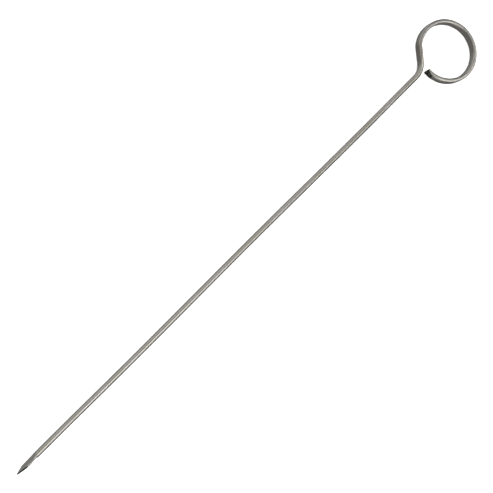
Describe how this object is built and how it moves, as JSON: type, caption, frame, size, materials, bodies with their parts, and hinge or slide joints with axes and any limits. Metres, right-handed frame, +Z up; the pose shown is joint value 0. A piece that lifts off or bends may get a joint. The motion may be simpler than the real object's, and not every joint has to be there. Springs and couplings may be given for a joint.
{
  "type": "ring-handled wire needle",
  "caption": "Straight stainless wire needle with a pressed spear point at one end and an open, flattened finger ring on an S-bent neck at the other.",
  "frame": {"origin": "centre of the base of the bounding box: midway between the point and the ring's far edge, under the ring's diameter line, at the level of the ring's lower rim", "axes": "+X along the shank from the point towards the ring, +Y to the side the neck bends to first, +Z up along the ring's axis"},
  "size_m": [0.305, 0.0316, 0.0048],
  "materials": {
    "stainless_wire": "drawn stainless steel wire, tumbled to a satin sheen, darker on the sheared faces"
  },
  "bodies": {
    "root": {"finger_ring": "stainless_wire", "neck_bend": "stainless_wire", "shank": "stainless_wire", "spear_tip": "stainless_wire"}
  },
  "joints": []
}
